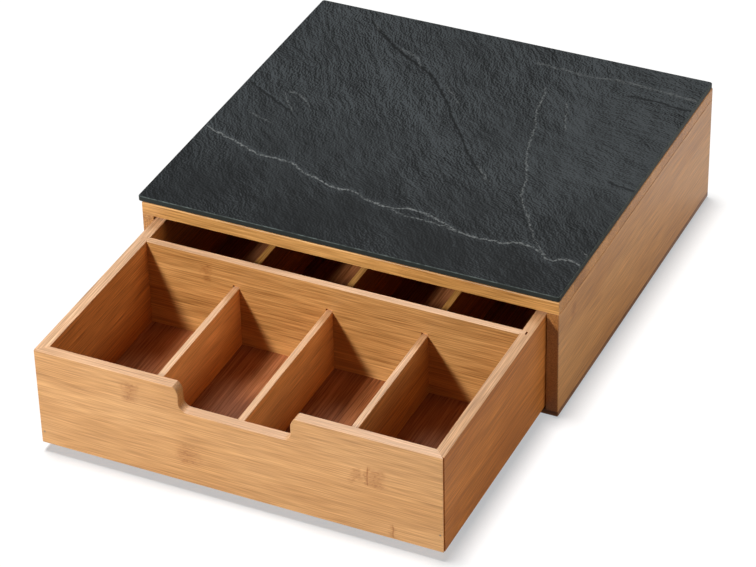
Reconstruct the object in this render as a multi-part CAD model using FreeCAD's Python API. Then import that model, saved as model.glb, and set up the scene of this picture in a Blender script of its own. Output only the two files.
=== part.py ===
import FreeCAD, Part
import math
import os

# Bamboo tea box: an open-fronted case under a glass plate, and a drawer with eight compartments.
# Millimetres. X runs across the front, Y runs from the front (-Y) to the back (+Y), and Z is up.
# The origin is on the table under the middle of the case. The drawer is drawn partly open.

# ---- Case boards
case_width = 300.0          # outer width across both side boards
case_depth = 286.0          # front edge to back face
case_height = 90.0          # underside of the floor board to upper face of the top board
top_thickness = 9.4
side_thickness = 8.5
floor_thickness = 4.0
back_thickness = 3.0
back_inset = 5.0            # from the rear edges of the boards around it to the back board
back_rebate = 4.0           # how far the back board reaches into the sides and the top board
case_arris = 0.8            # rounding of the outer long edges
mouth_arris = 0.4           # rounding of the edges around the drawer's mouth

# ---- Case joints and feet
lid_tongue_thickness = 3.5  # tongue along the upper edge of each side board, in the top board
lid_tongue_height = 5.0
lid_tongue_stop = 10.0      # how far it stays back from the front and back, so that neither shows it
lid_tongue_gap = 0.3        # room over the tongue and at its ends
brad_diameter = 1.6
brad_length = 16.0
brad_end_inset = 12.0       # first and last brad, from the front and back of the case
brads_per_side = 3
peg_gap = 0.1               # radial gap around brads and pins
foot_diameter = 12.0
foot_height = 1.0
foot_inset = 20.0           # centre of each foot, from the case's outer faces

# ---- Glass plate
glass_thickness = 4.0
glass_corner_radius = 2.0
glass_bevel = 0.4
glass_past_left = 2.6       # the plate lies a little to the left: past the case's left face,
glass_past_right = -0.3     # short of its right face,
glass_past_front = 0.0      # and level with its front
glass_past_back = 0.0       # and its back
tape_thickness = 0.3
tape_width = 12.0
tape_inset = 5.0            # from the case's outer faces to the tape under the plate
tape_gap = 1.0              # between two lengths of tape at a corner

# ---- Drawer tray
drawer_open = 161.7         # how far the drawer stands out of the case as drawn
wall_thickness = 7.8
side_gap = 0.5              # between a drawer side and a case side
run_gap = 0.3               # between the drawer and the strips that it slides on
headroom = 2.2              # between the drawer's rim and the top board
closed_gap = 0.4            # behind the drawer when its front is level with the case
glide_thickness = 1.5
glide_width = 7.0
glide_front_inset = 6.0
glide_back_inset = 20.0
wall_arris = 0.5
front_mitre_nose = 0.45     # the sharp tip of a mitre is cut back by this, square to the outer face
side_mitre_nose = 1.5       # the side boards' tips are cut back further: a dark groove down each corner
tray_floor_thickness = 3.0
tray_floor_rise = 5.2       # lower edge of the walls to the underside of the tray floor
groove_depth = 4.0
groove_end_gap = 0.3        # room for the tray floor to swell in its grooves

# ---- Finger notch in the drawer front
notch_width = 77.4          # between the two upright walls of the notch
notch_depth = 17.9
notch_flare = 3.4           # how much further each side opens at the rim, which it meets in a crisp corner
notch_lip_radius = 9.0      # arc from that corner down to the upright wall
notch_foot_radius = 5.5     # rounding from the upright wall to the floor of the notch

# ---- Dividers
cross_thickness = 5.5       # the full-height board between the two rows
tongue_thickness = 3.3
tongue_dado_depth = 4.4
tongue_left_gap = 0.2       # the board sits hard over to the left
tongue_right_gap = 1.2      # shows as a dark slit behind the tongue in the rim of the right side
divider_count = 3           # short dividers in each row
divider_thickness = 4.8
divider_height = 45.0       # above the tray floor
divider_arris = 0.5
wall_dado_depth = 2.0
cross_dado_depth = 1.5
cross_dado_headroom = 1.6   # how much higher than its divider a dado in the cross board runs
wall_dado_headroom = 0.4    # the same in the end walls, clear of the notch

# ---- Corner pins through the mitres
pin_diameter = 1.2
pin_length = 18.0
pin_inset = 2.6             # pin's centre line, from the outer face of the drawer side
pin_height_left = 9.0       # above the lower edge of the walls
pin_height_right = 13.0

vector = FreeCAD.Vector
up = vector(0, 0, 1)

# ---- Levels and faces worked out from the sizes above
base_z = foot_height
floor_top_z = base_z + floor_thickness
top_under_z = base_z + case_height - top_thickness
top_z = base_z + case_height
half_width = case_width / 2
inner_half_width = half_width - side_thickness
front_y = -case_depth / 2
back_y = case_depth / 2
back_outer_y = back_y - back_inset
back_inner_y = back_outer_y - back_thickness

tray_half_width = inner_half_width - side_gap
tray_inner_half_width = tray_half_width - wall_thickness
drawer_length = back_inner_y - front_y - closed_gap
tray_front_y = front_y - drawer_open
tray_back_y = tray_front_y + drawer_length
tray_middle_y = (tray_front_y + tray_back_y) / 2
tray_z = floor_top_z + glide_thickness + run_gap
drawer_height = top_under_z - headroom - tray_z
rim_z = tray_z + drawer_height
tray_floor_z = tray_z + tray_floor_rise
tray_floor_top_z = tray_floor_z + tray_floor_thickness
divider_top_z = tray_floor_top_z + divider_height
compartment_width = (2 * tray_inner_half_width - divider_count * divider_thickness) / (divider_count + 1)
divider_pitch = compartment_width + divider_thickness


def box(x0, x1, y0, y1, z0, z1):
    """Block between two opposite corners."""
    return Part.makeBox(x1 - x0, y1 - y0, z1 - z0, vector(x0, y0, z0))


def spread(first, last, count):
    """Evenly spaced places from first to last."""
    return [first + (last - first) * i / (count - 1) for i in range(count)]


def lies_in(edge, axis, value):
    """True where every end of the edge is in the plane axis = value."""
    return all(abs(getattr(v.Point, axis) - value) < 1e-6 for v in edge.Vertexes)


def edge_at(shape, *planes):
    """Edges that lie in all the given (axis, value) planes."""
    return [e for e in shape.Edges if all(lies_in(e, axis, value) for axis, value in planes)]


def ease(shape, radius, edges):
    """Round the given edges, as sanding does."""
    return shape.makeFillet(radius, edges)


def peg(diameter, length, place, direction):
    """Plain round bar that starts at a place."""
    return Part.makeCylinder(diameter / 2, length, place, direction)


# ---- Case

def lid_tongue(side, gap):
    """Tongue of a side board, or the stopped groove that takes it where gap is more than 0."""
    x = side * (half_width - side_thickness / 2)
    half = lid_tongue_thickness / 2
    end = case_depth / 2 - lid_tongue_stop + gap
    return box(x - half, x + half, -end, end, top_under_z, top_under_z + lid_tongue_height + gap)


def brad_places():
    """Centres of the brads' lower ends, flush with the underside of the floor board."""
    ys = spread(front_y + brad_end_inset, back_y - brad_end_inset, brads_per_side)
    x = half_width - side_thickness / 2
    return [vector(side * x, y, base_z) for side in (-1, 1) for y in ys]


def case_brads():
    """Headless brads that nail the floor board up into the sides."""
    return Part.makeCompound([peg(brad_diameter, brad_length, place, up) for place in brad_places()])


def brad_bores():
    """Holes that hold the brads."""
    return Part.makeCompound([peg(brad_diameter + 2 * peg_gap, brad_length + peg_gap, place, up)
                              for place in brad_places()])


def foot_places():
    """Centres of the four feet on the table."""
    x = half_width - foot_inset
    y = back_y - foot_inset
    return [vector(sx * x, sy * y, 0) for sx in (-1, 1) for sy in (-1, 1)]


def feet():
    """Round non-slip pads stuck under the floor board."""
    return Part.makeCompound([peg(foot_diameter, foot_height, place, up) for place in foot_places()])


def upright_corners(board):
    """The four upright outer edges of a board of the case's full width and depth."""
    return [e for x in (-half_width, half_width) for y in (front_y, back_y)
            for e in edge_at(board, ("x", x), ("y", y))]


def top_panel():
    """Top board over both sides, with grooves for their tongues and a rebate for the back board."""
    board = box(-half_width, half_width, front_y, back_y, top_under_z, top_z)
    board = ease(board, mouth_arris, edge_at(board, ("z", top_under_z), ("y", front_y)))
    board = ease(board, case_arris, upright_corners(board) + edge_at(board, ("z", top_z)))
    reach = inner_half_width + back_rebate
    board = board.cut(box(-reach, reach, back_inner_y, back_y, top_under_z, top_under_z + back_rebate))
    return board.cut(lid_tongue(-1, lid_tongue_gap)).cut(lid_tongue(1, lid_tongue_gap))


def case_side(side):
    """Side board: -1 is the left one, 1 the right one."""
    outer = side * half_width
    inner = side * inner_half_width
    board = box(min(outer, inner), max(outer, inner), front_y, back_y, floor_top_z, top_under_z)
    outer_edges = edge_at(board, ("x", outer), ("y", front_y)) + edge_at(board, ("x", outer), ("y", back_y))
    board = ease(board, case_arris, outer_edges)
    board = ease(board, mouth_arris, edge_at(board, ("x", inner), ("y", front_y)))
    reach = side * (inner_half_width + back_rebate)
    rebate = box(min(inner, reach), max(inner, reach), back_inner_y, back_y, floor_top_z, top_under_z)
    return board.fuse(lid_tongue(side, 0)).cut(rebate).cut(brad_bores())


def floor_panel():
    """Thin board under the sides and the back."""
    board = box(-half_width, half_width, front_y, back_y, base_z, floor_top_z)
    board = ease(board, mouth_arris, edge_at(board, ("z", floor_top_z), ("y", front_y)))
    board = ease(board, case_arris, upright_corners(board))
    board = board.makeChamfer(mouth_arris, edge_at(board, ("z", base_z)))
    return board.cut(brad_bores())


def back_panel():
    """Thin back board, set forward in the rebates of the sides and the top board."""
    reach = inner_half_width + back_rebate
    return box(-reach, reach, back_inner_y, back_outer_y, floor_top_z, top_under_z + back_rebate)


def glide_strips():
    """Two strips on the case floor that carry the drawer's side walls."""
    middle = tray_half_width - wall_thickness / 2
    strips = []
    for side in (-1, 1):
        x = side * middle
        strips.append(box(x - glide_width / 2, x + glide_width / 2, front_y + glide_front_inset,
                          back_inner_y - glide_back_inset, floor_top_z, floor_top_z + glide_thickness))
    return Part.makeCompound(strips)


def glass_tape():
    """Four lengths of clear tape between the top board and the glass."""
    z0 = top_z
    z1 = top_z + tape_thickness
    x1 = half_width - tape_inset
    x0 = x1 - tape_width
    y1 = back_y - tape_inset
    y0 = y1 - tape_width
    end = y0 - tape_gap
    return Part.makeCompound([box(-x1, x1, -y1, -y0, z0, z1), box(-x1, x1, y0, y1, z0, z1),
                              box(-x1, -x0, -end, end, z0, z1), box(x0, x1, -end, end, z0, z1)])


def glass_plate():
    """Glass plate with rounded corners and ground edges."""
    bottom = top_z + tape_thickness
    top = bottom + glass_thickness
    x0 = -half_width - glass_past_left
    x1 = half_width + glass_past_right
    y0 = front_y - glass_past_front
    y1 = back_y + glass_past_back
    plate = box(x0, x1, y0, y1, bottom, top)
    corners = [e for x in (x0, x1) for y in (y0, y1) for e in edge_at(plate, ("x", x), ("y", y))]
    plate = plate.makeFillet(glass_corner_radius, corners)
    return plate.makeChamfer(glass_bevel, edge_at(plate, ("z", top)) + edge_at(plate, ("z", bottom)))


# ---- Drawer walls. Each is drawn with its outer face on y = 0 looking to -Y, its lower edge on z = 0
# and its middle on x = 0, and is then turned and moved to its side of the tray.

def mitred_wall(length, nose):
    """Board with both ends cut at 45 degrees and their sharp tips cut back by the nose."""
    half = length / 2
    right = [(half - nose, 0), (half - nose, nose), (half - wall_thickness, wall_thickness)]
    left = [(-x, y) for x, y in reversed(right)]
    outline = [vector(x, y, 0) for x, y in right + left + right[:1]]
    return Part.Face(Part.makePolygon(outline)).extrude(vector(0, 0, drawer_height))


def finger_notch():
    """Solid that cuts the notch: arcs that leave the rim at a corner, upright walls, a rounded flat floor."""
    wall = notch_width / 2
    mouth = wall + notch_flare
    lip = notch_lip_radius
    foot = notch_foot_radius
    floor_z = drawer_height - notch_depth
    above = drawer_height + lip
    sweep = math.acos(1 - notch_flare / lip)
    lip_end_z = drawer_height - lip * math.sin(sweep)
    corner = math.sqrt(0.5)
    edges = []
    for side in (-1, 1):
        lip_start = vector(side * mouth, 0, drawer_height)
        lip_middle = vector(side * (wall + lip * (1 - math.cos(sweep / 2))), 0,
                            lip_end_z + lip * math.sin(sweep / 2))
        lip_end = vector(side * wall, 0, lip_end_z)
        foot_start = vector(side * wall, 0, floor_z + foot)
        foot_middle = vector(side * (wall - foot * (1 - corner)), 0, floor_z + foot * (1 - corner))
        foot_end = vector(side * (wall - foot), 0, floor_z)
        edges.append(Part.makeLine(vector(side * mouth, 0, above), lip_start))
        edges.append(Part.Arc(lip_start, lip_middle, lip_end).toShape())
        edges.append(Part.makeLine(lip_end, foot_start))
        edges.append(Part.Arc(foot_start, foot_middle, foot_end).toShape())
    edges.append(Part.makeLine(vector(foot - wall, 0, floor_z), vector(wall - foot, 0, floor_z)))
    edges.append(Part.makeLine(vector(-mouth, 0, above), vector(mouth, 0, above)))
    outline = Part.Wire(Part.__sortEdges__(edges))
    return Part.Face(outline).extrude(vector(0, wall_thickness, 0))


def rim_edges(wall, lowest):
    """Upper edges of a wall on its outer and inner face, down to the given height."""
    faces = edge_at(wall, ("y", 0)) + edge_at(wall, ("y", wall_thickness))
    return [e for e in faces if all(v.Point.z > lowest - 1e-6 for v in e.Vertexes)]


def floor_groove(length):
    """Groove along the inner face that holds the tray floor."""
    return box(-length / 2, length / 2, wall_thickness - groove_depth, wall_thickness,
               tray_floor_rise, tray_floor_rise + tray_floor_thickness)


def dado(x, width, depth, top):
    """Upright slot in the inner face, from the tray floor up to a given height above the lower edge."""
    return box(x - width / 2, x + width / 2, wall_thickness - depth, wall_thickness,
               tray_floor_rise + tray_floor_thickness, top)


def divider_xs():
    """Middles of the short dividers across the drawer."""
    first = -divider_pitch * (divider_count - 1) / 2
    return [first + i * divider_pitch for i in range(divider_count)]


def end_wall(notched):
    """Front wall, with its notch, or back wall, without one; both hold the short dividers."""
    length = 2 * tray_half_width
    wall = mitred_wall(length, front_mitre_nose)
    lowest = drawer_height
    if notched:
        wall = wall.cut(finger_notch())
        lowest = drawer_height - notch_depth
    wall = ease(wall, wall_arris, rim_edges(wall, lowest) + edge_at(wall, ("y", 0), ("z", 0)))
    wall = wall.cut(floor_groove(length))
    for x in divider_xs():
        top = divider_top_z + wall_dado_headroom - tray_z
        wall = wall.cut(dado(x, divider_thickness, wall_dado_depth, top))
    return wall


def side_wall():
    """Side wall with the open-topped dado of the cross board's tongue."""
    wall = mitred_wall(drawer_length, side_mitre_nose)
    wall = ease(wall, wall_arris, rim_edges(wall, drawer_height) + edge_at(wall, ("y", 0), ("z", 0)))
    wall = wall.cut(floor_groove(drawer_length))
    return wall.cut(dado(0, tongue_thickness, tongue_dado_depth, drawer_height))


def pin_places():
    """Outer ends of the corner pins, with the way that each one runs in."""
    x = tray_half_width - pin_inset
    left_z = tray_z + pin_height_left
    right_z = tray_z + pin_height_right
    ends = ((tray_front_y, vector(0, 1, 0)), (tray_back_y, vector(0, -1, 0)))
    return [(vector(side_x, y, z), way) for y, way in ends for side_x, z in ((-x, left_z), (x, right_z))]


def corner_pins():
    """Headless pins through the mitres."""
    return Part.makeCompound([peg(pin_diameter, pin_length, place, way) for place, way in pin_places()])


def pin_bores():
    """Holes that hold the corner pins."""
    return Part.makeCompound([peg(pin_diameter + 2 * peg_gap, pin_length + peg_gap, place, way)
                              for place, way in pin_places()])


def placed_wall(wall, turn, x, y):
    """Turn a wall about Z, move it to its side of the tray and bore it for the pins."""
    wall = wall.copy()
    wall.rotate(vector(0, 0, 0), up, turn)
    wall.translate(vector(x, y, tray_z))
    return wall.cut(pin_bores())


def tray_floor():
    """Board in the grooves of all four walls."""
    reach = groove_depth - groove_end_gap
    x = tray_inner_half_width + reach
    y0 = tray_front_y + wall_thickness - reach
    y1 = tray_back_y - wall_thickness + reach
    return box(-x, x, y0, y1, tray_floor_z, tray_floor_top_z)


def cross_board():
    """Full-height board between the rows: a tongue at each end and stopped dadoes in both faces."""
    y0 = tray_middle_y - cross_thickness / 2
    y1 = tray_middle_y + cross_thickness / 2
    dado_end = tray_inner_half_width + tongue_dado_depth
    left_end = tongue_left_gap - dado_end
    right_end = dado_end - tongue_right_gap
    board = box(left_end, right_end, y0, y1, tray_floor_top_z, rim_z)
    top = edge_at(board, ("z", rim_z))
    board = ease(board, wall_arris, [e for e in top if lies_in(e, "y", y0) or lies_in(e, "y", y1)])
    shoulder = (cross_thickness - tongue_thickness) / 2
    for x0, x1 in ((left_end, -tray_inner_half_width), (tray_inner_half_width, right_end)):
        for near, far in ((y0, y0 + shoulder), (y1 - shoulder, y1)):
            board = board.cut(box(x0, x1, near, far, tray_floor_top_z, rim_z))
    half = divider_thickness / 2
    for x in divider_xs():
        for near, far in ((y0, y0 + cross_dado_depth), (y1 - cross_dado_depth, y1)):
            board = board.cut(box(x - half, x + half, near, far, tray_floor_top_z,
                                  divider_top_z + cross_dado_headroom))
    return board


def short_divider(x, y0, y1):
    """Low divider from a dado in an end wall to a dado in the cross board."""
    half = divider_thickness / 2
    board = box(x - half, x + half, y0, y1, tray_floor_top_z, divider_top_z)
    top = edge_at(board, ("z", divider_top_z))
    upper = [e for e in top if lies_in(e, "x", x - half) or lies_in(e, "x", x + half)]
    return ease(board, divider_arris, upper)


def divider_rows():
    """Both rows of short dividers, numbered from the left."""
    near = tray_middle_y - cross_thickness / 2 + cross_dado_depth
    far = tray_middle_y + cross_thickness / 2 - cross_dado_depth
    front_end = tray_front_y + wall_thickness - wall_dado_depth
    back_end = tray_back_y - wall_thickness + wall_dado_depth
    rows = {}
    for number, x in enumerate(divider_xs(), 1):
        rows[f"front_divider_{number}"] = short_divider(x, front_end, near)
        rows[f"rear_divider_{number}"] = short_divider(x, far, back_end)
    return rows


nodes = {
    "glass_plate": glass_plate(),
    "glass_tape": glass_tape(),
    "top_panel": top_panel(),
    "case_left_side": case_side(-1),
    "case_right_side": case_side(1),
    "case_back": back_panel(),
    "case_floor": floor_panel(),
    "case_brads": case_brads(),
    "glide_strips": glide_strips(),
    "feet": feet(),
    "drawer_front": placed_wall(end_wall(True), 0, 0, tray_front_y),
    "drawer_back": placed_wall(end_wall(False), 180, 0, tray_back_y),
    "drawer_left_side": placed_wall(side_wall(), -90, -tray_half_width, tray_middle_y),
    "drawer_right_side": placed_wall(side_wall(), 90, tray_half_width, tray_middle_y),
    "drawer_floor": tray_floor(),
    "cross_divider": cross_board(),
    "corner_pins": corner_pins(),
}
nodes.update(divider_rows())

os.makedirs("parts", exist_ok=True)
for name, shape in nodes.items():
    shape.exportStep(f"parts/{name}.step")
    print(f"{name:20s} solids {len(shape.Solids):2d}  valid {shape.isValid()}  volume {shape.Volume:12.1f}")
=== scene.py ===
"""Looks of the tea bag drawer box: laminated bamboo boards, a slate-print glass plate and the small parts."""

import math

import bpy
from mathutils import Matrix, Vector

MM = 0.001

# Camera: place and direction in the part's frame. The picture's long side is PICTURE_WIDTH pixels.
CAMERA_PLACE = (0.74529, -1.65271, 1.23054)
CAMERA_AZIMUTH, CAMERA_ELEVATION, CAMERA_ROLL = 25.560, 34.696, -1.379
FOCAL_PIXELS, PICTURE_WIDTH, SENSOR_WIDTH = 3131.23, 756, 36.0

# Lamps that light the part: sizes in metres, powers in watts.
LIGHT_TARGET = (0.0, -0.08, 0.05)
KEY_PLACE, KEY_SIZE, KEY_POWER = (-0.48, -1.20, 0.81), 0.15, 18.0
BACK_PLACE, BACK_SIZE, BACK_POWER = (-0.30, 0.55, 1.10), 0.45, 6.0
FILL_PLACE, FILL_SIZE, FILL_POWER = (1.25, 0.05, 0.52), 0.6, 5.2
FILL_COLOUR = (1.0, 0.86, 0.74)
AMBIENT, AMBIENT_COLOUR = 0.032, (1.0, 0.80, 0.62)

# The floor: its own sun casts the part's shadow on it, and its glow is what stays in that shadow.
FLOOR_HALF, FLOOR_SEEN_HEIGHT, FLOOR_LIT_HEIGHT = 6.0, -0.0002, -0.0005
FLOOR_SUN_DIRECTION = (0.10, -0.02, -1.0)
FLOOR_SUN_ANGLE, FLOOR_SUN_POWER = 14.0, 3.5
FLOOR_COLOUR, FLOOR_LIT_COLOUR = (0.51, 0.50, 0.49), (0.8, 0.8, 0.8)
FLOOR_SHADE, FLOOR_GLOW = (0.96, 1.0, 1.03), 0.47
FLOOR_GLEAM = (0.05, 0.55)          # light that the floor adds in reflections, rising from front to back
GLEAM_RISE = (-0.05, 0.25)          # between these places along Y

# Bamboo: contrast of its fibres from hair-fine to broad, of whole strips, and of clouds.
HAIR_CONTRAST, FINE_CONTRAST, MIDDLE_CONTRAST, BROAD_CONTRAST = 1.55, 0.46, 0.20, 0.46
STRIP_CONTRAST, CLOUD_CONTRAST = 0.24, 0.40
DARK_FIBRES, GLUE_LINES = 0.14, 0.09
# Scale of a fibre pattern along and across the grain, its detail, and how much a strip's draw moves it.
HAIR_SCALES = (36.0, 1300.0, 1.0, 3.1)
FINE_SCALES = (12.0, 680.0, 1.0, 2.3)
MIDDLE_SCALES = (9.0, 300.0, 2.0, 1.7)
BROAD_SCALES = (7.0, 60.0, 2.0, 0.9)
DARK_FIBRE_SCALES = (14.0, 640.0, 1.0, 4.7)
CLOUD_SCALES = (9.0, 20.0, 20.0)
CULM_SPACING = 0.26                 # metres between the culm nodes of one strip
CULM_HALF, CULM_SOFT = 0.0025, 0.004
KNOT_WANDER_SCALE, KNOT_WANDER_ACROSS, KNOT_WANDER_ALONG = 170.0, 0.010, 0.012
KNOT_WEIGHT = 0.80
END_GRAIN_SHARE = 0.2
FAINT_CULMS, USUAL_CULMS = 0.12, 0.45
BAMBOO_ROUGHNESS, ROUGHNESS_SPREAD = 0.42, 0.05
GRAIN_BUMP, GRAIN_DEPTH = 0.35, 0.00012

# Tints that multiply the bamboo's colour: of pale and warm strips, of end grain, of culm nodes.
PALE_TINT, WARM_TINT = (1.02, 1.05, 1.10), (0.985, 0.95, 0.88)
END_TINT, CULM_TINT = (0.66, 0.55, 0.45), (0.62, 0.48, 0.36)

# Linear colours.
BAMBOO = (0.535, 0.262, 0.080)
BAMBOO_FRONT = (0.53, 0.272, 0.100)
# Paler colour for the faces across the strips, such as the rims: a painted sheen.
BAMBOO_EDGE_PAINTED_SHEEN = (0.70, 0.400, 0.205)
# Dark colour of the case's floor board: a painted shade along the bottom of the case.
BAMBOO_FLOOR_PAINTED_SHADE = (0.24, 0.105, 0.038)
BAMBOO_RAIL = (0.54, 0.262, 0.072)
# Brighter, redder copy of the bamboo for the first two front dividers: painted bounce light on their shaded
# faces.
BAMBOO_DIVIDER_PAINTED_BOUNCE = (0.72, 0.325, 0.098)
# Darker, more saturated copy of the bamboo for the drawer's sides and the rear dividers: painted shade.
BAMBOO_TRAY_SIDE_PAINTED_SHADE = (0.52, 0.195, 0.043)
BAMBOO_TRAY_FLOOR = (0.36, 0.130, 0.047)
SLATE_DARK, SLATE_PALE = (0.003, 0.004, 0.0045), (0.064, 0.074, 0.080)
VEIN_COLOUR = (0.26, 0.28, 0.28)
GLASS_EDGE, GLASS_ARRIS = (0.030, 0.036, 0.034), (0.085, 0.105, 0.10)

# Slate print: a level between SLATE_DARK and SLATE_PALE, and the relief that lightens and darkens it.
LEVEL_FRONT, LEVEL_BACK = 0.14, 0.42
LEVEL_RIGHT, LEVEL_LAYERS, LEVEL_SPREAD = 0.26, 0.13, 0.30
SLATE_CONTRAST = 1.8
BROAD_RIPPLES, FINE_RIPPLES, SWELLS, GRAINS = 1.1, 2.3, 4.5, 0.6
CRACK_LIGHT, VEIN_HAZE = 0.45, 0.45
CRACK_DARK, VEIN_SHADE, VEIN_COVER = 0.95, 0.5, 0.8
# In half widths of a mark: how far a vein's shade and a crack's lit lip lie behind it, or right of it where it
# runs along Y, and how wide the haze of a vein is.
SHADE_BESIDE, LIP_BESIDE, HAZE_WIDTH = -3.0, 2.6, 5.0
# Scales per mm: of the ripples' bends, of the larger areas, and of the ripples along, across and through.
BEND_SCALE, AREA_SCALE = 0.02, 0.014
BROAD_RIPPLE_SCALES, FINE_RIPPLE_SCALES = (0.05, 0.24, 1.0), (0.36, 1.2, 1.0)
BEND_REACH, MARK_WANDER = (22.0, 22.0, 0.0), (6.0, 6.0, 0.0)    # in mm
GLASS_ROUGHNESS, GLASS_SPECULAR = (0.41, 0.43), 0.04

# Places of a Mix node's colour sockets.
COLOUR_A, COLOUR_B, COLOUR_RESULT = 6, 7, 2

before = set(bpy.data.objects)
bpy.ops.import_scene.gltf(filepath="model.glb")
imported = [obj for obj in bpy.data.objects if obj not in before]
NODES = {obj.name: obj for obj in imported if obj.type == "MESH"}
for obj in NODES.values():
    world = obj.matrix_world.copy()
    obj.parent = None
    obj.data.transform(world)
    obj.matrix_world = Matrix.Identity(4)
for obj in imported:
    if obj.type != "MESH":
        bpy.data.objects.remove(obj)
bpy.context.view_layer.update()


class Graph:
    """Short calls that add linked nodes to one node tree."""

    def __init__(self, tree):
        self.tree = tree

    def put(self, socket, value):
        if isinstance(value, bpy.types.NodeSocket):
            self.tree.links.new(value, socket)
        elif value is not None:
            is_colour = hasattr(socket.default_value, "__len__") and len(socket.default_value) == 4
            if is_colour and len(value) == 3:
                value = (*value, 1.0)
            socket.default_value = value

    def node(self, kind, inputs=None, **settings):
        made = self.tree.nodes.new(kind)
        for name, value in settings.items():
            setattr(made, name, value)
        for name, value in (inputs or {}).items():
            self.put(made.inputs[name], value)
        return made

    def math(self, operation, a, b=None, c=None, clamp=False):
        made = self.node("ShaderNodeMath", {0: a, 1: b, 2: c}, operation=operation, use_clamp=clamp)
        return made.outputs[0]

    def vector_math(self, operation, a, b=None):
        made = self.node("ShaderNodeVectorMath", {0: a, 1: b}, operation=operation)
        return made.outputs[0]

    def noise(self, vector, scale=1.0, detail=2.0, roughness=0.5, colour=False):
        made = self.node("ShaderNodeTexNoise", {"Vector": vector, "Scale": scale, "Detail": detail,
                                                "Roughness": roughness})
        return made.outputs["Color" if colour else "Fac"]

    def span(self, value, low, high, to_low=0.0, to_high=1.0, smooth=True):
        made = self.node("ShaderNodeMapRange", {"Value": value, "From Min": low, "From Max": high,
                                                "To Min": to_low, "To Max": to_high},
                         interpolation_type="SMOOTHSTEP" if smooth else "LINEAR")
        return made.outputs[0]

    def mix(self, share, a, b, blend="MIX"):
        made = self.node("ShaderNodeMix", data_type="RGBA", blend_type=blend)
        self.put(made.inputs["Factor"], share)
        self.put(made.inputs[COLOUR_A], a)
        self.put(made.inputs[COLOUR_B], b)
        return made.outputs[COLOUR_RESULT]

    def join(self, x, y, z):
        return self.node("ShaderNodeCombineXYZ", {0: x, 1: y, 2: z}).outputs[0]

    def split(self, vector):
        return self.node("ShaderNodeSeparateXYZ", {0: vector}).outputs

    def patch(self, value, centre, half, soft):
        """1 within half of centre, falling to 0 over soft."""
        away = self.math("ABSOLUTE", self.math("SUBTRACT", value, centre))
        return self.span(away, half, half + soft, 1.0, 0.0)


def new_group(name, inputs, outputs):
    tree = bpy.data.node_groups.new(name, "ShaderNodeTree")
    for label, kind in inputs:
        tree.interface.new_socket(label, in_out="INPUT", socket_type=kind)
    for label, kind in outputs:
        tree.interface.new_socket(label, in_out="OUTPUT", socket_type=kind)
    g = Graph(tree)
    return g, g.node("NodeGroupInput").outputs, g.node("NodeGroupOutput").inputs


def empty_material(name):
    material = bpy.data.materials.new(name)
    material.use_nodes = True
    material.node_tree.nodes.clear()
    return material, Graph(material.node_tree)


def new_material(name):
    material, g = empty_material(name)
    shader = g.node("ShaderNodeBsdfPrincipled")
    g.node("ShaderNodeOutputMaterial", {"Surface": shader.outputs[0]})
    return material, g, shader


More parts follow.
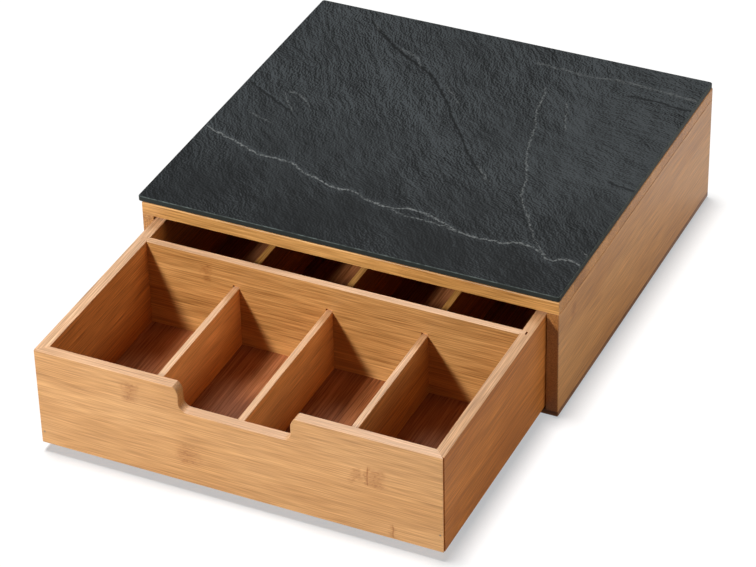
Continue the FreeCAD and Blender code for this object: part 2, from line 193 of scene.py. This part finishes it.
def bamboo_group():
    """Laminated bamboo from (along, across, through) in metres: tone, node marks, relief."""
    g, given, result = new_group(
        "BambooGrain",
        [("Place", "NodeSocketVector"), ("Seed", "NodeSocketFloat"), ("Pitch", "NodeSocketFloat"),
         ("Shift", "NodeSocketFloat")],
        [("Tone", "NodeSocketFloat"), ("Warmth", "NodeSocketFloat"), ("Marks", "NodeSocketFloat"),
         ("Relief", "NodeSocketFloat")])
    along, across, through = g.split(given["Place"])
    place = g.math("DIVIDE", g.math("SUBTRACT", across, given["Shift"]), given["Pitch"])
    strip = g.math("FLOOR", place)
    inside = g.math("FRACT", place)
    draw = g.node("ShaderNodeTexWhiteNoise", {"Vector": g.join(strip, given["Seed"], 3.7)},
                  noise_dimensions="3D")
    tone_draw, warm_draw, node_draw = g.split(draw.outputs["Color"])

    # Every strip has its own fibres: a draw from the strip's number moves the pattern.
    strip_jump = g.math("MULTIPLY", tone_draw, 5.0)

    def fibres(along_scale, across_scale, detail, jump):
        v = g.join(g.math("MULTIPLY_ADD", along, along_scale, g.math("MULTIPLY", strip_jump, jump)),
                   g.math("MULTIPLY_ADD", across, across_scale, given["Seed"]),
                   g.math("MULTIPLY", through, across_scale))
        return g.noise(v, 1.0, detail, 0.55)

    hair = fibres(*HAIR_SCALES)
    fine = fibres(*FINE_SCALES)
    middle = fibres(*MIDDLE_SCALES)
    broad = fibres(*BROAD_SCALES)
    tone = g.math("MULTIPLY_ADD", g.math("SUBTRACT", hair, 0.5), HAIR_CONTRAST, 0.0)
    for pattern, contrast in ((fine, FINE_CONTRAST), (middle, MIDDLE_CONTRAST), (broad, BROAD_CONTRAST),
                              (tone_draw, STRIP_CONTRAST)):
        tone = g.math("MULTIPLY_ADD", g.math("SUBTRACT", pattern, 0.5), contrast, tone)
    clouds = g.noise(g.vector_math("ADD", g.vector_math("MULTIPLY", given["Place"], CLOUD_SCALES),
                                   g.join(given["Seed"], given["Seed"], given["Seed"])), 1.0, 2.0)
    tone = g.math("MULTIPLY_ADD", g.math("SUBTRACT", clouds, 0.5), CLOUD_CONTRAST, tone)
    dark_fibres = g.span(fibres(*DARK_FIBRE_SCALES), 0.62, 0.76)
    tone = g.math("MULTIPLY_ADD", dark_fibres, -DARK_FIBRES, tone)

    # A thin glue line shows between strips here and there.
    seam = g.math("ABSOLUTE", g.math("SUBTRACT", inside, 0.5))
    seam = g.span(seam, 0.485, 0.5, 0.0, 1.0)
    seam_shows = g.noise(g.join(g.math("MULTIPLY", along, 12.0), strip, given["Seed"]))
    seam = g.math("MULTIPLY", seam, g.span(seam_shows, 0.4, 0.6))
    tone = g.math("MULTIPLY_ADD", seam, -GLUE_LINES, tone)
    g.put(result["Tone"], g.math("ADD", tone, 1.0))
    g.put(result["Warmth"], g.math("MULTIPLY_ADD", warm_draw, 0.4, g.span(clouds, 0.35, 0.65, 0.6, 0.0)))

    # Each strip crosses a culm node at every CULM_SPACING, as a faint speckled patch.
    culm = g.math("FRACT", g.math("ADD", g.math("DIVIDE", along, CULM_SPACING), node_draw))
    culm = g.math("MULTIPLY", g.math("SUBTRACT", culm, 0.5), CULM_SPACING)
    specks = g.noise(g.join(g.math("MULTIPLY", along, 900.0), g.math("MULTIPLY", across, 1100.0),
                            g.math("MULTIPLY", through, 1100.0)), 1.0, 1.0)
    specks = g.span(specks, 0.55, 0.68)
    middle_of_strip = g.patch(inside, 0.5, 0.26, 0.16)
    mark = g.math("MULTIPLY", g.patch(culm, 0.0, CULM_HALF, CULM_SOFT), middle_of_strip)
    g.put(result["Marks"], g.math("MULTIPLY", mark, g.math("MULTIPLY_ADD", specks, 0.8, 0.2)))
    g.put(result["Relief"], hair)
    return g.tree


def knot_group():
    """One strong culm node at a set place: a cross line with speckled, darker wood beside it."""
    g, given, result = new_group(
        "BambooKnot",
        [("Place", "NodeSocketVector"), ("Along", "NodeSocketFloat"), ("Across", "NodeSocketFloat"),
         ("Length", "NodeSocketFloat"), ("Height", "NodeSocketFloat"), ("Line", "NodeSocketFloat")],
        [("Marks", "NodeSocketFloat")])
    along, across, through = g.split(given["Place"])
    wander = g.noise(g.vector_math("MULTIPLY", given["Place"], (KNOT_WANDER_SCALE,) * 3), 1.0, 2.0)
    wander = g.math("SUBTRACT", wander, 0.5)
    da = g.math("SUBTRACT", along, given["Along"])
    dc = g.math("MULTIPLY_ADD", wander, KNOT_WANDER_ACROSS, g.math("SUBTRACT", across, given["Across"]))
    high = g.span(g.math("DIVIDE", g.math("ABSOLUTE", dc), given["Height"]), 0.55, 1.05, 1.0, 0.0)
    soft = g.math("ABSOLUTE", g.math("MULTIPLY_ADD", wander, KNOT_WANDER_ALONG, da))
    wide = g.span(g.math("DIVIDE", soft, given["Length"]), 0.0, 1.15, 1.0, 0.0)
    specks = g.noise(g.join(g.math("MULTIPLY", along, 480.0), g.math("MULTIPLY", across, 950.0),
                            g.math("MULTIPLY", through, 950.0)), 1.0, 1.0)
    specks = g.span(specks, 0.50, 0.64)
    patch = g.math("MULTIPLY", g.math("MULTIPLY", high, wide), g.math("MULTIPLY_ADD", specks, 0.45, 0.55))
    straight = g.math("ABSOLUTE", g.math("MULTIPLY_ADD", wander, 0.0012, da))
    line = g.span(straight, 0.00025, 0.0007, 1.0, 0.0)
    line = g.math("MULTIPLY", g.math("MULTIPLY", line, high), given["Line"])
    g.put(result["Marks"], g.math("ADD", g.math("MULTIPLY", patch, KNOT_WEIGHT), line, clamp=True))
    return g.tree


BAMBOO_GRAIN = bamboo_group()
BAMBOO_KNOT = knot_group()


def use_group(g, tree, **inputs):
    made = g.node("ShaderNodeGroup", node_tree=tree)
    for name, value in inputs.items():
        g.put(made.inputs[name], value)
    return made.outputs


def bamboo(name, grain, across, seed, tone=1.0, shift=0.0, pitch=20.0, knots=(), culms=USUAL_CULMS, base=BAMBOO,
           edge=BAMBOO_EDGE_PAINTED_SHEEN, end_share=END_GRAIN_SHARE, contrast=1.0, specular=0.5):
    """Bamboo for one board. grain and across are axis letters. The strips' shift and pitch are in mm, and so
    are the knots, as (along, across, length, height, line strength)."""
    material, g, shader = new_material(name)
    object_place = g.node("ShaderNodeTexCoord").outputs
    axes = dict(zip("xyz", g.split(object_place["Object"])))
    normals = dict(zip("xyz", g.split(object_place["Normal"])))
    through = ({"x", "y", "z"} - {grain, across}).pop()
    place = g.join(axes[grain], axes[across], axes[through])
    wood = use_group(g, BAMBOO_GRAIN, Place=place, Seed=seed, Pitch=pitch * MM, Shift=shift * MM)
    tone_here = g.math("MULTIPLY_ADD", g.math("SUBTRACT", wood["Tone"], 1.0), contrast, 1.0)
    marks = g.math("MULTIPLY", wood["Marks"], culms)
    for a, c, length, height, line in knots:
        knot = use_group(g, BAMBOO_KNOT, Place=place, Along=a * MM, Across=c * MM, Length=length * MM,
                         Height=height * MM, Line=line)
        marks = g.math("MAXIMUM", marks, knot["Marks"])
    face = g.math("ABSOLUTE", normals[across])
    end = g.math("ABSOLUTE", normals[grain])
    # Faces across the strips, such as the rims, take the edge colour; the default edge colour is paler, a
    # painted sheen.
    colour = g.mix(g.span(face, 0.5, 0.85), tuple(c * tone for c in base), tuple(c * tone for c in edge))
    colour = g.mix(wood["Warmth"], g.mix(1.0, colour, PALE_TINT, "MULTIPLY"),
                   g.mix(1.0, colour, WARM_TINT, "MULTIPLY"))
    colour = g.mix(g.math("MULTIPLY", g.span(end, 0.5, 0.9), end_share), colour,
                   g.mix(1.0, colour, END_TINT, "MULTIPLY"))
    # Darker fibres are also redder.
    shade = g.node("ShaderNodeCombineColor", {0: tone_here, 1: g.math("POWER", tone_here, 1.2),
                                              2: g.math("POWER", tone_here, 1.5)}).outputs[0]
    colour = g.mix(1.0, colour, shade, "MULTIPLY")
    colour = g.mix(marks, colour, g.mix(1.0, colour, CULM_TINT, "MULTIPLY"))
    g.put(shader.inputs["Base Color"], colour)
    g.put(shader.inputs["Roughness"], g.span(wood["Relief"], 0.3, 0.7, BAMBOO_ROUGHNESS - ROUGHNESS_SPREAD,
                                             BAMBOO_ROUGHNESS + ROUGHNESS_SPREAD, False))
    bump = g.node("ShaderNodeBump", {"Height": wood["Relief"], "Strength": GRAIN_BUMP, "Distance": GRAIN_DEPTH})
    g.put(shader.inputs["Normal"], bump.outputs[0])
    shader.inputs["Specular IOR Level"].default_value = specular
    return material


def curve(g, value, points, low, high):
    """A smooth curve through points, read over low..high: gives the second coordinate for the first."""
    least = min(p[1] for p in points)
    span = max(max(p[1] for p in points) - least, 1e-6)
    made = g.node("ShaderNodeFloatCurve")
    line = made.mapping.curves[0]
    placed = [((a - low) / (high - low), (b - least) / span) for a, b in sorted(points)]
    line.points[0].location, line.points[1].location = placed[0], placed[-1]
    for p in placed[1:-1]:
        line.points.new(*p)
    made.mapping.update()
    g.put(made.inputs["Value"], g.span(value, low, high, smooth=False))
    return g.math("MULTIPLY_ADD", made.outputs[0], span, least)


# Marks on the slate print: points in mm on the plate, the axis a mark runs along, its half width, its strength.
# Their courses follow the main veins and cracks of the photo's print, read on a flattened view of it.
PALE_VEINS = [
    ([(-152, -45), (-140, -51), (-127, -55), (-113, -61), (-95, -66), (-80, -66), (-65, -73), (-50, -78),
      (-33, -83), (-23, -82), (-10, -88), (10, -90), (20, -87), (35, -89), (50, -94), (62, -99), (90, -100),
      (103, -96), (120, -100), (128, -106), (138, -102), (150, -108)], "x", 0.6, 1.0),
    ([(8, -91), (20, -95), (45, -96), (60, -100)], "x", 0.45, 0.7),
    ([(92, 45), (80, 48), (60, 51), (40, 58), (20, 62), (0, 68), (-24, 78), (-42, 82), (-59, 92), (-73, 101),
      (-86, 109), (-103, 124)], "y", 0.45, 0.75),
    ([(78, 66), (65, 71), (55, 74), (43, 80)], "y", 0.45, 0.5),
    ([(40, -20), (49, -29), (57, -38)], "x", 0.7, 0.5),
    ([(-103, 128), (-95, 117)], "x", 0.8, 0.5),
    ([(-72, 100), (-58, 95), (-46, 80)], "x", 0.8, 0.4),
    ([(-22, 68), (-8, 54), (-2, 48)], "x", 0.8, 0.35),
    ([(-121, 16), (-112, 2), (-104, -6)], "x", 0.7, 0.6),
    ([(-119, 17), (-108, 14), (-95, 1)], "x", 0.6, 0.6),
    ([(-135, -17), (-120, -23), (-110, -26)], "x", 0.5, 0.4),
    ([(25, 120), (52, 118), (70, 117), (90, 119), (120, 117), (150, 114)], "x", 0.9, 0.45),
    ([(140, -86), (145, -90), (152, -95)], "x", 0.4, 0.7),
]
DARK_CRACKS = [
    ([(-108, 130), (-94, 117), (-78, 103), (-62, 92), (-46, 82), (-35, 75), (-22, 60), (-8, 42), (2, 27),
      (14, 12), (25, -4), (36, -17), (50, -32)], "x", 1.25, 1.0),
    ([(-152, 20), (-133, 8), (-118, 0), (-105, -8)], "x", 0.9, 0.9),
    ([(100, 103), (125, 103), (135, 101), (152, 100)], "x", 0.9, 0.8),
    ([(115, 80), (108, 84)], "y", 0.8, 0.7),
    ([(128, -4), (136, -7), (152, -9)], "x", 0.8, 0.8),
    ([(-108, 125), (-125, 140), (-137, 148)], "y", 0.8, 0.7),
    ([(-100, 55), (-120, 65)], "y", 0.8, 0.6),
]
# Directions of the cleft's ripples, in degrees from X: at the left, in the middle and at the right rear.
RIPPLE_LEFT, RIPPLE_MIDDLE, RIPPLE_RIGHT = -58.0, -45.0, -10.0
LIT_SIDE = (0.45, 0.38, 0.0)      # from a ripple's crest to its lit side, in mm
MIDDLE_GREY = (0.5, 0.5, 0.5)     # the mean of a noise texture's colour


def slate_relief_group():
    """Height of the cleft slate that the print shows, from a place on the plate in mm."""
    g, given, result = new_group("SlateRelief", [("Place", "NodeSocketVector")],
                                 [("Height", "NodeSocketFloat")])
    place = given["Place"]
    bend = g.vector_math("SUBTRACT", g.noise(place, BEND_SCALE, 2.0, 0.5, True), MIDDLE_GREY)
    bent = g.vector_math("ADD", place, g.vector_math("MULTIPLY", bend, BEND_REACH))

    def ripples(degrees):
        turned = g.node("ShaderNodeVectorRotate", {"Vector": bent, "Angle": math.radians(-degrees)},
                        rotation_type="Z_AXIS").outputs[0]
        broad = g.noise(g.vector_math("MULTIPLY", turned, BROAD_RIPPLE_SCALES), 1.0, 2.0, 0.55)
        fine = g.noise(g.vector_math("MULTIPLY", turned, FINE_RIPPLE_SCALES), 1.0, 3.0, 0.75)
        return g.math("MULTIPLY_ADD", broad, BROAD_RIPPLES, g.math("MULTIPLY", fine, FINE_RIPPLES))

    def blend(share, a, b):
        return g.node("ShaderNodeMix", {0: share, 2: a, 3: b}, data_type="FLOAT").outputs[0]

    x, y, _ = g.split(place)
    to_middle = g.span(g.math("SUBTRACT", x, y), -60.0, 60.0)
    to_right = g.math("MULTIPLY", g.span(x, 60.0, 115.0), g.span(y, -60.0, 20.0))
    height = blend(to_middle, ripples(RIPPLE_LEFT), ripples(RIPPLE_MIDDLE))
    height = blend(to_right, height, ripples(RIPPLE_RIGHT))
    height = g.math("MULTIPLY_ADD", g.noise(place, 0.03, 2.0, 0.5), SWELLS, height)
    g.put(result["Height"], g.math("MULTIPLY_ADD", g.noise(place, 1.1, 1.0, 0.5), GRAINS, height))
    return g.tree


def slate_glass():
    """Tempered glass whose slate print shows as the colour of its face. The ground edges stay bare."""
    material, g, shader = new_material("slate_print_glass")
    sockets = g.node("ShaderNodeTexCoord").outputs
    place = g.vector_math("MULTIPLY", sockets["Object"], (1 / MM, 1 / MM, 0.0))
    x, y, _ = g.split(place)
    relief = slate_relief_group()
    near = use_group(g, relief, Place=g.vector_math("SUBTRACT", place, LIT_SIDE))["Height"]
    far = use_group(g, relief, Place=g.vector_math("ADD", place, LIT_SIDE))["Height"]
    slope = g.math("SUBTRACT", near, far)
    area = g.noise(place, AREA_SCALE, 1.0)

    # Cleft layers: a band across the plate and its right rear corner, where the relief is strong and pale.
    layers = g.math("MAXIMUM", g.patch(g.math("MULTIPLY_ADD", x, 1.2, y), 12.0, 14.0, 45.0),
                    g.math("MULTIPLY", g.span(x, 0.0, 70.0), g.span(y, 40.0, 100.0)))
    layers = g.math("MULTIPLY", layers, g.span(y, -60.0, 50.0))
    relief_strength = g.math("ADD", g.span(area, 0.35, 0.65, 0.50, 0.95), g.span(y, -120.0, 60.0, -0.22, 0.18))
    relief_strength = g.math("MULTIPLY_ADD", layers, 0.80, relief_strength)

    right = g.math("MULTIPLY", g.span(x, 20.0, 110.0), g.span(y, -70.0, 20.0))
    level = g.math("MULTIPLY_ADD", right, LEVEL_RIGHT, g.span(y, -145.0, 0.0, LEVEL_FRONT, LEVEL_BACK))
    level = g.math("MULTIPLY_ADD", g.math("SUBTRACT", area, 0.5), LEVEL_SPREAD, level)
    level = g.math("MULTIPLY_ADD", layers, LEVEL_LAYERS, level)
    light = g.math("MULTIPLY_ADD", g.math("MULTIPLY", slope, relief_strength), SLATE_CONTRAST, level)

    # The marks wander by a millimetre or two from their curves, and break up along them.
    wander = g.vector_math("SUBTRACT", g.noise(place, 0.22, 3.0, 0.7, True), MIDDLE_GREY)
    wander = g.vector_math("MULTIPLY", wander, MARK_WANDER)
    wx, wy, _ = g.split(g.vector_math("ADD", place, wander))
    breaks = g.span(g.noise(place, 0.50, 3.0, 0.7), 0.40, 0.60, 0.05, 1.0)

    def marks(table, beside):
        """Strength of a table's marks, and of the broken bands that lie so many half widths beside them."""
        total, bands = 0.0, 0.0
        for points, axis, half, strength in table:
            along, off = (wx, wy) if axis == "x" else (wy, wx)
            low, high = min(p[0] for p in points), max(p[0] for p in points)
            side = g.math("SUBTRACT", off, curve(g, along, points, low, high))
            ends = g.math("MULTIPLY", g.span(along, low - 1.0, low + 3.0),
                          g.span(along, high - 3.0, high + 1.0, 1.0, 0.0))
            body = g.span(g.math("ABSOLUTE", side), half * 0.3, half * 2.2, strength, 0.0)
            total = g.math("MAXIMUM", g.math("MULTIPLY", body, ends), total)
            band = g.math("ABSOLUTE", g.math("SUBTRACT", side, beside * half))
            band = g.span(band, half * 0.5, half * 2.5, strength, 0.0)
            bands = g.math("MAXIMUM", g.math("MULTIPLY", band, ends), bands)
        return total, g.math("MULTIPLY", bands, breaks)

    vein, vein_shade = marks(PALE_VEINS, SHADE_BESIDE)
    hazy = [(points, axis, HAZE_WIDTH * half, strength) for points, axis, half, strength in PALE_VEINS[:2]]
    haze, _ = marks(hazy, 0.0)
    vein = g.math("MULTIPLY", vein, breaks)
    haze = g.math("MULTIPLY", haze, breaks)
    light = g.math("MULTIPLY_ADD", haze, VEIN_HAZE, light)
    crack, crack_light = marks(DARK_CRACKS, LIP_BESIDE)
    light = g.math("MULTIPLY_ADD", crack_light, CRACK_LIGHT, light)
    colour = g.mix(light, SLATE_DARK, SLATE_PALE)
    dark = g.math("MAXIMUM", g.math("MULTIPLY", crack, CRACK_DARK), g.math("MULTIPLY", vein_shade, VEIN_SHADE))
    colour = g.mix(dark, colour, SLATE_DARK)
    colour = g.mix(g.math("MULTIPLY", vein, VEIN_COVER), colour, VEIN_COLOUR)
    up = g.split(sockets["Normal"])[2]
    chips = g.span(g.noise(sockets["Object"], 220.0, 3.0, 0.7), 0.30, 0.72, 0.45, 1.5)
    arris = g.mix(1.0, GLASS_ARRIS, g.join(chips, chips, chips), "MULTIPLY")
    edge = g.mix(g.span(up, 0.2, 0.5), GLASS_EDGE, arris)
    g.put(shader.inputs["Base Color"], g.mix(g.span(up, 0.93, 0.99), edge, colour))
    g.put(shader.inputs["Roughness"], g.span(g.noise(place, 0.05, 2.0), 0.3, 0.7, *GLASS_ROUGHNESS))
    shader.inputs["Specular IOR Level"].default_value = GLASS_SPECULAR
    return material


def plain(name, colour, roughness, metallic=0.0, scale=900.0, spread=0.08, specular=0.5, relief=0.00005,
          **extra):
    """A small part's finish: a mottled colour with a fine relief. extra holds constants of other sockets."""
    material, g, shader = new_material(name)
    place = g.node("ShaderNodeTexCoord").outputs["Object"]
    mottle = g.noise(place, scale, 3.0, 0.6)
    shade = g.mix(mottle, tuple(c * (1 - spread) for c in colour), tuple(c * (1 + spread) for c in colour))
    g.put(shader.inputs["Base Color"], shade)
    g.put(shader.inputs["Roughness"],
          g.span(mottle, 0.3, 0.7, roughness * 0.9, min(1.0, roughness * 1.1), False))
    bump = g.node("ShaderNodeBump", {"Height": mottle, "Strength": 0.4, "Distance": relief})
    g.put(shader.inputs["Normal"], bump.outputs[0])
    shader.inputs["Metallic"].default_value = metallic
    shader.inputs["Specular IOR Level"].default_value = specular
    for label, value in extra.items():
        shader.inputs[label.replace("_", " ")].default_value = value
    return material


def dress(node, material):
    """Give one CAD node its finish."""
    mesh = NODES[node].data
    mesh.materials.clear()
    mesh.materials.append(material)


# Each knot is (along, across, length, height, line strength), in mm.
FRONT_KNOTS = [(-73.0, 66.2, 7.0, 9.0, 0.0), (-33.4, 28.5, 11.0, 8.5, 0.0), (96.3, 49.7, 8.0, 9.0, 0.0),
               (90.3, 49.7, 2.0, 8.0, 0.8), (83.3, 49.6, 6.0, 6.0, 0.0), (106.9, 12.9, 3.5, 6.0, 0.5)]
# Each board's bamboo: the axes of its grain and across its strips, and what sets it apart from the others.
BOARDS = {
    "top_panel": dict(grain="x", across="y", seed=11.0, shift=2.0, edge=BAMBOO_RAIL),
    "case_left_side": dict(grain="y", across="z", seed=12.0, shift=15.3, pitch=21.1),
    # The right side's front end takes the full end-grain tint: darker end grain and a painted shade where the
    # drawer shades it.
    "case_right_side": dict(grain="y", across="z", seed=13.0, shift=15.3, pitch=21.1, end_share=1.0,
                            specular=0.75, contrast=0.85, knots=[(-118.3, 69.4, 5.0, 7.0, 0.0)]),
    "case_back": dict(grain="x", across="z", seed=14.0, tone=0.97, shift=8.0),
    # The case's floor board is dark all over: a painted shade at the bottom of the case.
    "case_floor": dict(grain="x", across="y", seed=15.0, base=BAMBOO_FLOOR_PAINTED_SHADE, edge=BAMBOO_FLOOR_PAINTED_SHADE),
    "drawer_front": dict(grain="x", across="z", seed=16.0, shift=0.8, pitch=18.9, knots=FRONT_KNOTS,
                         base=BAMBOO_FRONT, contrast=0.64),
    "drawer_back": dict(grain="x", across="z", seed=17.0, shift=12.0),
    # The drawer's sides and the rear dividers take the darker, more saturated copy of the bamboo: painted
    # shade.
    "drawer_left_side": dict(grain="y", across="z", seed=18.0, shift=16.0, base=BAMBOO_TRAY_SIDE_PAINTED_SHADE),
    "drawer_right_side": dict(grain="y", across="z", seed=19.0, shift=14.0, base=BAMBOO_TRAY_SIDE_PAINTED_SHADE,
                              contrast=0.8, specular=0.25),
    "drawer_floor": dict(grain="y", across="x", seed=20.0, shift=3.0, base=BAMBOO_TRAY_FLOOR, specular=0.12),
    "cross_divider": dict(grain="x", across="z", seed=21.0, shift=13.1, pitch=16.5, contrast=0.85,
                          knots=[(-88.8, 66.2, 5.5, 9.0, 0.0)]),
    # The first two front dividers take the brighter, redder copy of the bamboo: painted bounce light.
    "front_divider_1": dict(grain="y", across="z", seed=22.0, shift=12.0, base=BAMBOO_DIVIDER_PAINTED_BOUNCE, contrast=0.7),
    "front_divider_2": dict(grain="y", across="z", seed=23.0, shift=9.0, base=BAMBOO_DIVIDER_PAINTED_BOUNCE, contrast=0.7),
    "front_divider_3": dict(grain="y", across="z", seed=24.0, shift=15.0),
    "rear_divider_1": dict(grain="y", across="z", seed=25.0, shift=4.0, base=BAMBOO_TRAY_SIDE_PAINTED_SHADE,
                           edge=BAMBOO_RAIL, specular=0.2),
    "rear_divider_2": dict(grain="y", across="z", seed=26.0, shift=8.0, base=BAMBOO_TRAY_SIDE_PAINTED_SHADE,
                           edge=BAMBOO_RAIL, specular=0.2),
    "rear_divider_3": dict(grain="y", across="z", seed=27.0, shift=17.0, base=BAMBOO_TRAY_SIDE_PAINTED_SHADE,
                           edge=BAMBOO_RAIL, specular=0.2),
}
for node, board in BOARDS.items():
    culms = FAINT_CULMS if "knots" in board else USUAL_CULMS
    dress(node, bamboo("bamboo_" + node, culms=culms, **board))
dress("glass_plate", slate_glass())
dress("glass_tape", plain("clear_tape", (0.50, 0.52, 0.50), 0.25))
dress("case_brads", plain("steel_brads", (0.52, 0.52, 0.54), 0.34, 1.0))
dress("corner_pins", plain("steel_pins", (0.30, 0.25, 0.20), 0.45, 1.0))
dress("glide_strips", plain("felt", (0.055, 0.050, 0.048), 0.95, scale=1800.0, spread=0.35, specular=0.15,
                            relief=0.0002, Sheen_Weight=0.4))
dress("feet", plain("foot_rubber", (0.022, 0.022, 0.023), 0.7, scale=1400.0, spread=0.2, specular=0.3))


def area_light(name, place, size, power):
    """A square lamp that faces LIGHT_TARGET."""
    lamp = bpy.data.lights.new(name, "AREA")
    lamp.shape, lamp.size, lamp.energy = "SQUARE", size, power
    obj = bpy.data.objects.new(name, lamp)
    obj.location = place
    obj.rotation_mode = "QUATERNION"
    obj.rotation_quaternion = (Vector(LIGHT_TARGET) - Vector(place)).to_track_quat("-Z", "Y")
    bpy.context.scene.collection.objects.link(obj)
    return obj


def only_lights(lamp, objects, name):
    """The lamp lights these objects alone."""
    group = bpy.data.collections.new(name)
    for obj in objects:
        group.objects.link(obj)
    lamp.light_linking.receiver_collection = group


def floor_plane(name, seen, z):
    """A floor that only the camera sees, or the one that gives bounced light and reflections."""
    mesh = bpy.data.meshes.new(name)
    corners = [(x * FLOOR_HALF, y * FLOOR_HALF, z) for x, y in ((-1, -1), (1, -1), (1, 1), (-1, 1))]
    mesh.from_pydata(corners, [], [(0, 1, 2, 3)])
    obj = bpy.data.objects.new(name, mesh)
    bpy.context.scene.collection.objects.link(obj)
    obj.visible_camera = seen
    for kind in ("diffuse", "glossy", "transmission", "volume_scatter", "shadow"):
        setattr(obj, "visible_" + kind, not seen)
    return obj


def floor_material(name, colour, glow, gleam=(0.0, 0.0)):
    """Diffuse floor with some light of its own, and more of it in reflections, rising to the back."""
    material, g = empty_material(name)
    place = g.node("ShaderNodeTexCoord").outputs["Object"]
    shade = g.mix(g.noise(place, 3.0, 1.0), tuple(c * 0.995 for c in colour), colour)
    diffuse = g.node("ShaderNodeBsdfDiffuse", {"Color": shade}).outputs[0]
    mirrored = g.node("ShaderNodeLightPath").outputs["Is Glossy Ray"]
    rising = g.span(g.split(place)[1], *GLEAM_RISE, *gleam)
    strength = g.math("MULTIPLY_ADD", mirrored, rising, glow)
    light = g.node("ShaderNodeEmission", {"Color": FLOOR_SHADE, "Strength": strength}).outputs[0]
    both = g.node("ShaderNodeAddShader", {0: diffuse, 1: light}).outputs[0]
    g.node("ShaderNodeOutputMaterial", {"Surface": both})
    return material


key = area_light("key", KEY_PLACE, KEY_SIZE, KEY_POWER)
back = area_light("back", BACK_PLACE, BACK_SIZE, BACK_POWER)
fill = area_light("fill", FILL_PLACE, FILL_SIZE, FILL_POWER)
fill.data.color = FILL_COLOUR
floor_seen = floor_plane("floor_seen", True, FLOOR_SEEN_HEIGHT)
floor_seen.data.materials.append(floor_material("floor_seen", FLOOR_COLOUR, FLOOR_GLOW))
floor_lit = floor_plane("floor_lit", False, FLOOR_LIT_HEIGHT)
floor_lit.data.materials.append(floor_material("floor_lit", FLOOR_LIT_COLOUR, 0.0, FLOOR_GLEAM))
sun = bpy.data.lights.new("floor_sun", "SUN")
sun.energy, sun.angle = FLOOR_SUN_POWER, math.radians(FLOOR_SUN_ANGLE)
floor_sun = bpy.data.objects.new("floor_sun", sun)
floor_sun.rotation_mode = "QUATERNION"
floor_sun.rotation_quaternion = Vector(FLOOR_SUN_DIRECTION).to_track_quat("-Z", "Y")
bpy.context.scene.collection.objects.link(floor_sun)
lit_objects = [*NODES.values(), floor_lit]
only_lights(key, lit_objects, "lit_by_key")
only_lights(back, lit_objects, "lit_by_back")
only_lights(fill, lit_objects, "lit_by_fill")
only_lights(floor_sun, [floor_seen], "lit_by_floor_sun")

# The world is white to the camera and in reflections, and a weak warm light otherwise.
world = bpy.data.worlds.new("studio")
bpy.context.scene.world = world
world.use_nodes = True
world.node_tree.nodes.clear()
g = Graph(world.node_tree)
rays = g.node("ShaderNodeLightPath").outputs
mirrored = g.math("MAXIMUM", rays["Is Glossy Ray"], rays["Is Transmission Ray"])
strength = g.math("MULTIPLY_ADD", mirrored, 1.0 - AMBIENT, AMBIENT)
strength = g.math("MAXIMUM", strength, rays["Is Camera Ray"])
seen = g.math("MAXIMUM", mirrored, rays["Is Camera Ray"])
background = g.node("ShaderNodeBackground", {"Color": g.mix(seen, AMBIENT_COLOUR, (1.0, 1.0, 1.0)),
                                             "Strength": strength})
g.node("ShaderNodeOutputWorld", {"Surface": background.outputs[0]})


def make_camera():
    """The photograph's camera, from its direction, roll and place."""
    az, el, roll = (math.radians(v) for v in (CAMERA_AZIMUTH, CAMERA_ELEVATION, CAMERA_ROLL))
    back = Vector((math.sin(az) * math.cos(el), -math.cos(az) * math.cos(el), math.sin(el)))
    level = Vector((0, 0, 1)).cross(back).normalized()
    upright = back.cross(level)
    right = math.cos(roll) * level + math.sin(roll) * upright
    up = -math.sin(roll) * level + math.cos(roll) * upright
    data = bpy.data.cameras.new("camera")
    data.sensor_width = SENSOR_WIDTH
    data.lens = FOCAL_PIXELS / PICTURE_WIDTH * SENSOR_WIDTH
    data.clip_start, data.clip_end = 0.05, 50.0
    obj = bpy.data.objects.new("camera", data)
    rows = [[right[r], up[r], back[r], CAMERA_PLACE[r]] for r in range(3)]
    obj.matrix_world = Matrix([*rows, [0, 0, 0, 1]])
    bpy.context.scene.collection.objects.link(obj)
    bpy.context.scene.camera = obj


make_camera()
bpy.context.scene.view_settings.view_transform = "Standard"
